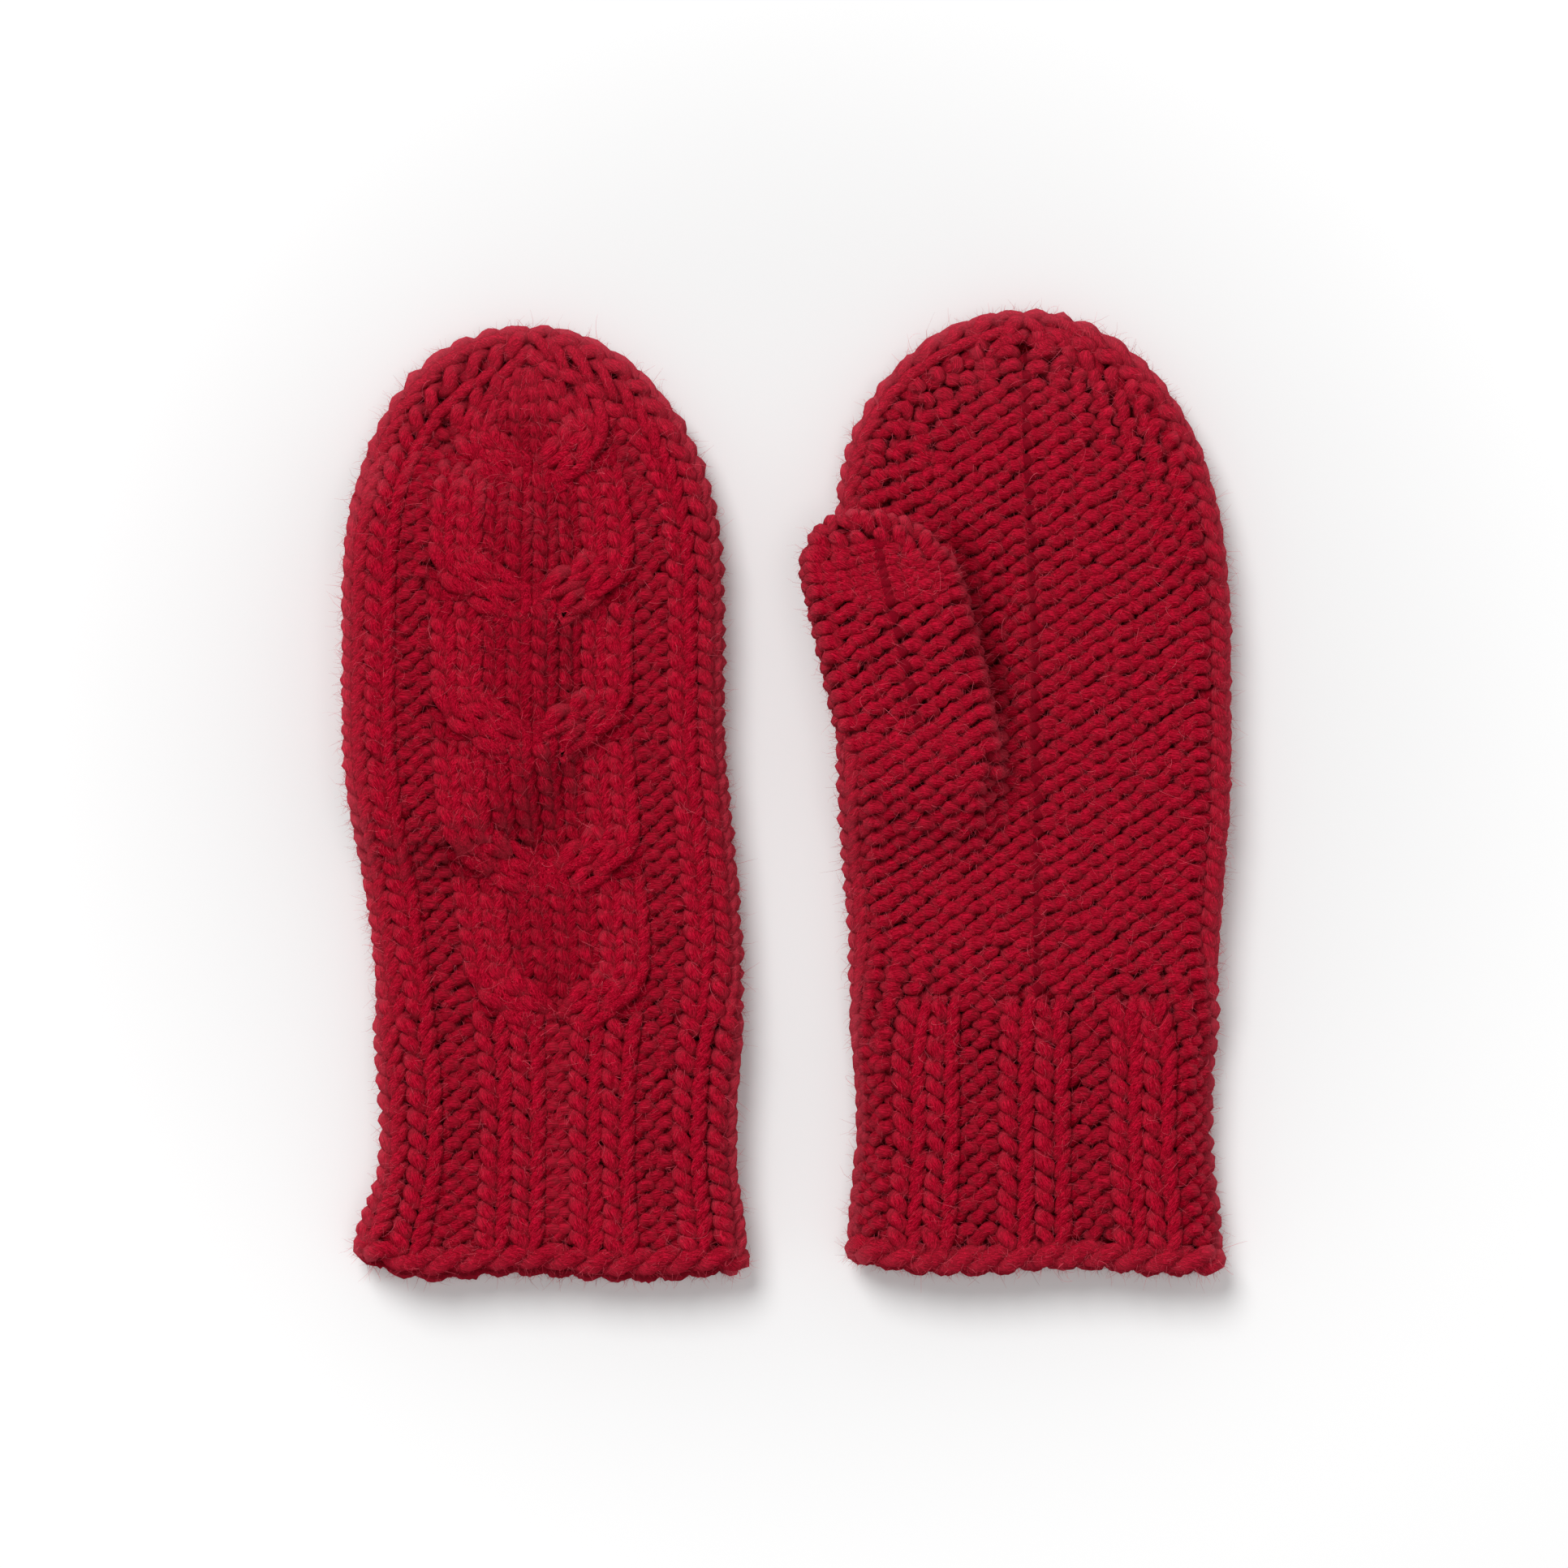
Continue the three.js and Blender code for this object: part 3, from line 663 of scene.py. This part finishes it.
class Knit:
    """Collects strands of yarn and loose fibres for one mesh."""

    def __init__(self, random):
        self.random = random
        self.points, self.faces, self.yarn, self.fibre, self.shade_height = [], [], [], [], []
        self.count = 0

    def add(self, points, faces, yarn, fibre, shade_height):
        """Points and faces, with their place in the yarn, their paleness from pale fibres, painted sheen
        and painted light, and their height in the fabric, which sets their painted shade.
        """
        self.points.append(points)
        self.faces.append(faces + self.count)
        self.yarn.append(yarn)
        self.fibre.append(fibre)
        self.shade_height.append(shade_height)
        self.count += len(points)

    def strand(self, centre, outward, radius, shade_height):
        """A closed tube of yarn along a path. It returns the path's tangent, normal and binormal."""
        tangent = unit(np.roll(centre, -1, 0) - np.roll(centre, 1, 0))
        normal = unit(outward - tangent * (outward * tangent).sum(1, keepdims=True))
        binormal = np.cross(tangent, normal)
        length = np.concatenate([[0], np.cumsum(np.linalg.norm(np.diff(centre, axis=0), axis=1))])
        angle = 2 * math.pi * np.arange(SIDES) / SIDES
        rough = 1 + ROUGHNESS * self.random.standard_normal((len(centre), SIDES))
        spread = (radius[:, None] * rough)[..., None]
        cosine, sine = np.cos(angle)[None, :, None], np.sin(angle)[None, :, None]
        ring = centre[:, None] + spread * cosine * normal[:, None] + spread * sine * binormal[:, None]
        turn = angle[None, :] - YARN_TWIST * length[:, None]
        along = np.broadcast_to(length[:, None], turn.shape) + self.random.uniform(0, 500)
        yarn = np.stack([along, radius[:, None] * np.cos(turn), radius[:, None] * np.sin(turn)], -1)
        # Painted sheen where the fabric turns away from above, and painted light at the fingertips and the
        # hem.
        painted_light = EDGE_SHEEN * (1 - np.abs(normal[:, 2])) ** EDGE_SHEEN_POWER
        painted_light += TIP_HEM_LIGHT * (smooth(centre[:, 1], *LIGHT_AT_TIP) + 1 - smooth(centre[:, 1], *LIGHT_AT_HEM))
        self.add(
            ring.reshape(-1, 3),
            quads(len(centre), SIDES, closed=True)[:, ::-1],
            yarn.reshape(-1, 3),
            np.repeat(painted_light, SIDES),
            (shade_height[:, None] + radius[:, None] * np.cos(angle)).ravel(),
        )
        return tangent, normal, binormal

    def lining(self, tube, first, end, place_on):
        """The dense inside of the fabric, seen through the gaps between the loops, painted in the fabric's
        darkest shade.
        """
        rows = np.arange(first, end + 1)
        turn = np.linspace(-1, 1, LINING_STEPS, endpoint=False)
        tip = (tube.last_row - before for before in TIP_LINING_ROWS)
        depths = LINING_DEPTH + TIP_LINING * smooth(rows, *tip)
        rings = []
        for row, depth in zip(rows, depths):
            level = np.full(LINING_STEPS, min(row, end - LINING_SHORT), float)
            rings.append(place_on(row)(*tube.surface(level, turn * tube.girth(level), depth)))
        points = np.concatenate(rings)
        faces = quads(len(rows), LINING_STEPS)[:, [0, 3, 2, 1]]
        count = len(points)
        self.add(points, faces, points, np.zeros(count), np.full(count, LINING_SHADE))

    def fuzz(self, centre, axes, radius, shade_height):
        """Loose fibres that stand out of a strand's surface."""
        tangent, normal, binormal = axes
        rand = self.random
        count = int(len(centre) * FUZZ)
        pick = rand.integers(0, len(centre), count)
        angle = rand.uniform(-HAIR_SPREAD, HAIR_SPREAD, count)
        out = np.cos(angle)[:, None] * normal[pick] + np.sin(angle)[:, None] * binormal[pick]
        start = centre[pick] + out * radius[pick][:, None] * HAIR_ROOT
        along = tangent[pick] * rand.choice([-1, 1], count)[:, None]
        sway = rand.standard_normal((count, 3)) * HAIR_SWAY
        lead = unit(HAIR_ALONG * along + HAIR_OUT * out + sway)
        curl = rand.standard_normal((count, 3))
        curl = unit(curl - lead * (curl * lead).sum(1, keepdims=True))
        short, tall = HAIR_LENGTH
        reach = short + rand.gamma(*HAIR_GAMMA, count) * (tall - short) / 2
        light = shade_height[pick] + HAIR_LIGHT
        bend = rand.uniform(-HAIR_BEND, HAIR_BEND, count)
        self.hairs(start, lead, curl, reach, bend, light, HAIR_RADIUS, HAIR_STEPS, HAIR_PALE)

        long = rand.random(count) < LONG_HAIRS
        total = int(long.sum())
        bend = rand.uniform(*LONG_BEND, total) * rand.choice([-1, 1], total)
        lead = unit(LONG_ALONG * along[long] + LONG_OUT * out[long] + LONG_SWAY * sway[long])
        curl = unit(np.cross(lead, out[long]))
        reach = rand.uniform(*LONG_LENGTH, total)
        light = light[long] + LONG_LIGHT
        self.hairs(start[long], lead, curl, reach, bend, light, LONG_RADIUS, LONG_STEPS, LONG_PALE)

    def hairs(self, start, lead, curl, reach, bend, light, radius, steps, pale):
        """Thin tubes that set out along lead and bend towards curl, each as an arc."""
        count = len(start)
        part = np.linspace(0, 1, steps)
        theta = bend[:, None] * part
        bend = np.where(np.abs(bend) < LEAST_BEND, LEAST_BEND, bend)[:, None]
        forward, sideways = (np.sin(theta) / bend)[..., None], ((1 - np.cos(theta)) / bend)[..., None]
        path = start[:, None] + reach[:, None, None] * (forward * lead[:, None] + sideways * curl[:, None])
        across = np.cross(lead, curl)
        angle = 2 * math.pi * np.arange(HAIR_SIDES) / HAIR_SIDES
        cosine, sine = np.cos(angle)[:, None], np.sin(angle)[:, None]
        round_it = cosine * curl[:, None, None] + sine * across[:, None, None]
        width = radius * (1 - HAIR_TAPER * part)
        ring = path[:, :, None] + width[:, None, None] * round_it
        per_hair = steps * HAIR_SIDES
        faces = per_hair * np.arange(count)[:, None, None] + quads(steps, HAIR_SIDES)
        yarn = np.zeros((count * per_hair, 3))
        yarn[:, 0] = np.repeat(self.random.uniform(0, 500, count), per_hair)
        tint = np.repeat(self.random.uniform(*pale, count), per_hair)
        self.add(ring.reshape(-1, 3), faces.reshape(-1, 4), yarn, tint, np.repeat(light, per_hair))

    def build(self, name, mitten, material):
        points = np.concatenate(self.points) * MM
        points += np.array([mitten.x, mitten.y, 0]) * MM
        points[:, 2] = np.maximum(points[:, 2], ON_TABLE * MM)
        assert np.isfinite(points).all(), name
        faces = np.concatenate(self.faces).astype(np.int32)
        mesh = bpy.data.meshes.new(name)
        mesh.vertices.add(len(points))
        mesh.vertices.foreach_set("co", points.astype(np.float32).ravel())
        mesh.loops.add(faces.size)
        mesh.loops.foreach_set("vertex_index", faces.ravel())
        mesh.polygons.add(len(faces))
        mesh.polygons.foreach_set("loop_start", np.arange(0, faces.size, 4, dtype=np.int32))
        mesh.polygons.foreach_set("use_smooth", np.ones(len(faces), bool))
        mesh.update(calc_edges=True)
        for attribute, kind, field, values in (
            ("yarn", "FLOAT_VECTOR", "vector", self.yarn),
            ("fibre", "FLOAT", "value", self.fibre),
            ("shade_height", "FLOAT", "value", self.shade_height),
        ):
            data = mesh.attributes.new(attribute, kind, "POINT").data
            data.foreach_set(field, np.concatenate(values).astype(np.float32).ravel())
        mesh.materials.append(material)
        piece = bpy.data.objects.new(name, mesh)
        bpy.context.scene.collection.objects.link(piece)
        return piece


def knit_row(knit, mitten, tube, columns, row, place):
    rows, s, out, radius = strand(tube, columns, row, mitten.chirality, mitten.random)
    centre = place(*tube.surface(rows, s, out))
    outward = place(*tube.surface(rows, s, out + OUTWARD)) - centre
    knots = np.arange(0, len(centre) + WOBBLE_STEP, WOBBLE_STEP)
    uneven = np.interp(np.arange(len(centre)), knots, mitten.random.standard_normal(len(knots)))
    radius = radius * (1 + THICKNESS_WOBBLE * uneven)
    shade_height = out - mitten.shade(centre)
    axes = knit.strand(centre, outward, radius, shade_height)
    knit.fuzz(centre, axes, radius, shade_height)


def attach(piece, mitten, nodes):
    """The piece takes its nodes' place: they are hidden and the piece's transform is baked into its mesh.
    """
    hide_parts(*(f"{mitten.name}_{node}" for node in nodes))
    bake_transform(piece)


def knit_hand(mitten, material):
    """The cuff, hand and finger end, in four pieces."""
    def place_on(row):
        return lambda *point: mitten.lay(*point, lifted=row <= FOOT_ROW + 1)

    for name, (first, end), bodies, fold_y, slot, nodes in SECTIONS:
        knit = Knit(mitten.random)
        for row in range(first, end):
            knit_row(knit, mitten, mitten.tube, main_columns(mitten, row + 0.5), row, place_on(row))
        knit.lining(mitten.tube, first, end, place_on)
        piece = knit.build(f"{mitten.name}_{name}", mitten, material)
        attach(piece, mitten, nodes)


def thumb_tube():
    def side(y):
        start, end = THUMB_BULGE_SPAN
        return THUMB_HALF_WIDTH + THUMB_BULGE * np.sin(math.pi * np.clip((y - start) / (end - start), 0, 1))

    return Tube(
        side=side,
        row_y=lambda row: THUMB_FOOT + HAND_ROW * row,
        depth=lambda y: np.full(np.shape(y), THUMB_DEPTH / 2),
        mid=THUMB_MID,
        dome_start=THUMB_ROUND,
        dome_row=(THUMB_ROUND - THUMB_FOOT) / HAND_ROW,
        last_row=THUMB_LAST_ROW,
        length=THUMB_TIP,
        power=THUMB_POWER,
        level_rows=THUMB_LEVEL_ROWS,
        gather=THUMB_GATHER,
    )


def knit_thumb(mitten, material):
    tube = thumb_tube()
    reach = math.tan(mitten.lean) * (THUMB_LENGTH - THUMB_FOOT)
    foot_x = mitten.thumb_x + (THUMB_FOOT_SHIFT if mitten.palm_up else 0)

    def place(px, py, pz, depth):
        climb = np.clip(py - THUMB_FOOT, 0, None) / (THUMB_LENGTH - THUMB_FOOT)
        x = px + foot_x - reach * climb**THUMB_SLANT
        z = pz + 2 * HALF_DEPTH - THUMB_SINK if mitten.palm_up else THUMB_DEPTH - pz
        return np.stack([x, py + THUMB_ROOT, np.maximum(z, LOWEST)], -1)

    knit = Knit(mitten.random)
    for row in range(tube.last_row):
        knit_row(knit, mitten, tube, thumb_columns(tube, row + 0.5), row, place)
    knit.lining(tube, 0, tube.last_row, lambda row: place)
    piece = knit.build(f"{mitten.name}_thumb_knit", mitten, material)
    nodes = ("thumb_rear", "thumb_rim", "thumb_front")
    attach(piece, mitten, nodes)


def knit_cast_on(mitten, material):
    """The rope-like edge that the cuff starts from."""
    tube = mitten.tube
    half = float(tube.girth(CORD_ROW))
    s = np.linspace(-half, half, CORD_STEPS, endpoint=False)
    turns = round(2 * half / CORD_PITCH)
    radius = PLY_RADIUS * (1 + THICKNESS_WOBBLE * np.sin(np.linspace(0, CORD_SWELLS, CORD_STEPS)))
    knit = Knit(mitten.random)
    for ply in range(CORD_PLIES):
        angle = 2 * math.pi * (turns * (s + half) / (2 * half) + ply / CORD_PLIES)
        angle = -mitten.chirality * angle
        rows = CORD_ROW + CORD_RADIUS * np.cos(angle) / CUFF_ROW
        out = CORD_RADIUS * np.sin(angle)
        centre = mitten.lay(*tube.surface(rows, s, out))
        outward = mitten.lay(*tube.surface(rows, s, out + OUTWARD)) - centre
        axes = knit.strand(centre, outward, radius, out + CORD_LIGHT)
        knit.fuzz(centre, axes, radius, out + CORD_HAIR_LIGHT)
    piece = knit.build(f"{mitten.name}_cast_on_rope", mitten, material)
    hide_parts(f"{mitten.name}_cast_on_edge")
    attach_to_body(piece, f"{mitten.name}_cuff_body")


# ---------------------------------------------------------------- materials

# Noise along and across the yarn, for each millimetre.
FINE_STREAKS, STREAKS, PATCHES = (0.8, 3.4, 3.4), (0.7, 1.5, 1.5), (0.13, 0.5, 0.5)
STREAK_SHARE, PATCH_SHARE = 0.42, 0.5
YARN_DARK, YARN_LIGHT = (0.225, 0.0, 0.005), (0.96, 0.012, 0.06)
PATCH_DARK = (0.62, 0.62, 0.62)
STREAK_DARK = (0.5, 0.36, 0.42)
# painted shade for yarn that lies deep in the fabric
PAINTED_GAP_SHADE = (0.3, 0.05, 0.13)
# the loose fibres' own pale colour, also used for the painted sheen and painted light on the yarn
PALE_FIBRE_AND_LIGHT = (0.88, 0.12, 0.17, 1.0)
WHITE = (1.0, 1.0, 1.0)


def wool():
    material = bpy.data.materials.new("crimson_wool")
    material.use_nodes = True
    nodes, links = material.node_tree.nodes, material.node_tree.links
    nodes.clear()
    output = nodes.new("ShaderNodeOutputMaterial")
    shader = nodes.new("ShaderNodeBsdfPrincipled")
    shader.inputs["Roughness"].default_value = 0.9
    shader.inputs["Sheen Weight"].default_value = 0.02
    shader.inputs["Sheen Roughness"].default_value = 0.4
    shader.inputs["Sheen Tint"].default_value = (1.0, 0.3, 0.38, 1)
    shader.inputs["Specular IOR Level"].default_value = 0.0
    links.new(shader.outputs["BSDF"], output.inputs["Surface"])

    def attribute(name, socket):
        node = nodes.new("ShaderNodeAttribute")
        node.attribute_name = name
        return node.outputs[socket]

    yarn = attribute("yarn", "Vector")

    def streaks(stretch, detail):
        """Noise drawn out along the yarn."""
        scaled = nodes.new("ShaderNodeVectorMath")
        scaled.operation = "MULTIPLY"
        scaled.inputs[1].default_value = stretch
        links.new(yarn, scaled.inputs[0])
        node = nodes.new("ShaderNodeTexNoise")
        node.inputs["Scale"].default_value = 1.0
        node.inputs["Detail"].default_value = detail
        node.inputs["Roughness"].default_value = 0.65
        links.new(scaled.outputs["Vector"], node.inputs["Vector"])
        return node.outputs["Fac"]

    def ramp(value, *stops):
        node = nodes.new("ShaderNodeValToRGB")
        for element, (place, colour) in zip(node.color_ramp.elements, stops):
            element.position = place
            element.color = (*colour, 1)
        links.new(value, node.inputs["Fac"])
        return node.outputs["Color"]

    def blend(kind, factor, a, b):
        node = nodes.new("ShaderNodeMix")
        node.data_type = "RGBA"
        node.blend_type = kind
        for name, value in (("Factor", factor), ("A", a), ("B", b)):
            if isinstance(value, (float, tuple)):
                node.inputs[name].default_value = value
            else:
                links.new(value, node.inputs[name])
        return node.outputs["Result"]

    fine = streaks(FINE_STREAKS, 4)
    middle = streaks(STREAKS, 3)
    broad = streaks(PATCHES, 2)
    # Painted shade: the yarn is painted darker the deeper it lies in the fabric, darkest on the lining and
    # in the crease beside the thumb.
    depth = nodes.new("ShaderNodeMapRange")
    depth.inputs["From Min"].default_value = LINING_SHADE
    depth.inputs["From Max"].default_value = FABRIC_TOP
    links.new(attribute("shade_height", "Fac"), depth.inputs["Value"])
    colour = ramp(fine, (0.36, YARN_DARK), (0.68, YARN_LIGHT))
    colour = blend("MULTIPLY", PATCH_SHARE, colour, ramp(broad, (0.3, PATCH_DARK), (0.7, WHITE)))
    colour = blend("MULTIPLY", STREAK_SHARE, colour, ramp(middle, (0.36, STREAK_DARK), (0.62, WHITE)))
    # Paler for the loose fibres, and where painted sheen and painted light lie on the yarn.
    colour = blend("MIX", attribute("fibre", "Fac"), colour, PALE_FIBRE_AND_LIGHT)
    painted_gap_shade = ramp(depth.outputs["Result"], (0.0, PAINTED_GAP_SHADE), (1.0, WHITE))
    colour = blend("MULTIPLY", 1.0, colour, painted_gap_shade)
    links.new(colour, shader.inputs["Base Color"])

    bump = nodes.new("ShaderNodeBump")
    bump.inputs["Strength"].default_value = 0.9
    bump.inputs["Distance"].default_value = 0.0008
    links.new(fine, bump.inputs["Height"])
    links.new(bump.outputs["Normal"], shader.inputs["Normal"])
    return material


# ---------------------------------------------------------------- stage, in metres

VIEW_WIDTH = 0.4347  # what the camera sees across the table
VIEW_CENTRE = (-0.0011, 0.0029)
CAMERA_HEIGHT = 1.9  # above the mittens
MITTEN_HEIGHT = 0.012
FLOOR_HALF = 3.0
# Painted shade on the table: its middle is painted greyer than its edge.
TABLE_SHADED_MIDDLE, TABLE_EDGE = 0.85, 1.0
TABLE_SHADE_FADE = (0.10, 0.28)
TABLE_SHADE_CENTRE = (0, 0.035, 0)
STUDIO_LIGHT = 0.41


def table_top():
    """White paper with painted shade that makes it a little greyer in the middle."""
    material = bpy.data.materials.new("white_table")
    material.use_nodes = True
    nodes, links = material.node_tree.nodes, material.node_tree.links
    shader = nodes["Principled BSDF"]
    shader.inputs["Roughness"].default_value = 0.9
    shader.inputs["Specular IOR Level"].default_value = 0.1
    place = nodes.new("ShaderNodeTexCoord")
    away = nodes.new("ShaderNodeVectorMath")
    away.operation = "SUBTRACT"
    away.inputs[1].default_value = TABLE_SHADE_CENTRE
    reach = nodes.new("ShaderNodeVectorMath")
    reach.operation = "LENGTH"
    painted_table_shade = nodes.new("ShaderNodeMapRange")
    painted_table_shade.interpolation_type = "SMOOTHSTEP"
    painted_table_shade.inputs["From Min"].default_value, painted_table_shade.inputs["From Max"].default_value = TABLE_SHADE_FADE
    painted_table_shade.inputs["To Min"].default_value = TABLE_SHADED_MIDDLE
    painted_table_shade.inputs["To Max"].default_value = TABLE_EDGE
    links.new(place.outputs["Object"], away.inputs[0])
    links.new(away.outputs["Vector"], reach.inputs[0])
    links.new(reach.outputs["Value"], painted_table_shade.inputs["Value"])
    links.new(painted_table_shade.outputs["Result"], shader.inputs["Base Color"])
    return material


def stage():
    mesh = bpy.data.meshes.new("floor")
    half = FLOOR_HALF
    corners = [(-half, -half, 0), (half, -half, 0), (half, half, 0), (-half, half, 0)]
    mesh.from_pydata(corners, [], [(0, 1, 2, 3)])
    mesh.materials.append(table_top())
    floor = bpy.data.objects.new("floor", mesh)
    bpy.context.scene.collection.objects.link(floor)


def camera():
    """Straight above the pair, looking down."""
    data = bpy.data.cameras.new("camera")
    data.sensor_width = 36
    data.lens = data.sensor_width * CAMERA_HEIGHT / VIEW_WIDTH
    data.clip_end = 20
    view = bpy.data.objects.new("camera", data)
    view.location = (*VIEW_CENTRE, CAMERA_HEIGHT + MITTEN_HEIGHT)
    bpy.context.scene.collection.objects.link(view)
    bpy.context.scene.camera = view


def area_light(name, place, size, power):
    """A round lamp that points at the middle of the table."""
    data = bpy.data.lights.new(name, "AREA")
    data.shape = "DISK"
    data.size = size
    data.energy = power
    light = bpy.data.objects.new(name, data)
    light.location = place
    light.rotation_euler = (-Vector(place)).to_track_quat("-Z", "Y").to_euler()
    bpy.context.scene.collection.objects.link(light)


def lights():
    world = bpy.data.worlds.new("studio")
    bpy.context.scene.world = world
    world.use_nodes = True
    background = world.node_tree.nodes["Background"]
    background.inputs["Color"].default_value = (1, 1, 1, 1)
    background.inputs["Strength"].default_value = STUDIO_LIGHT
    area_light("key", (-1.2, 2.1, 3.2), size=2.0, power=108)
    area_light("fill", (0.6, -0.2, 4.4), size=2.0, power=27)


camera()
stage()
lights()
bpy.context.scene.view_settings.view_transform = "Standard"
WOOL = wool()
for mitten_name, facts in MITTENS.items():
    pair_half = Mitten(mitten_name, **facts)
    knit_cast_on(pair_half, WOOL)
    knit_hand(pair_half, WOOL)
    knit_thumb(pair_half, WOOL)
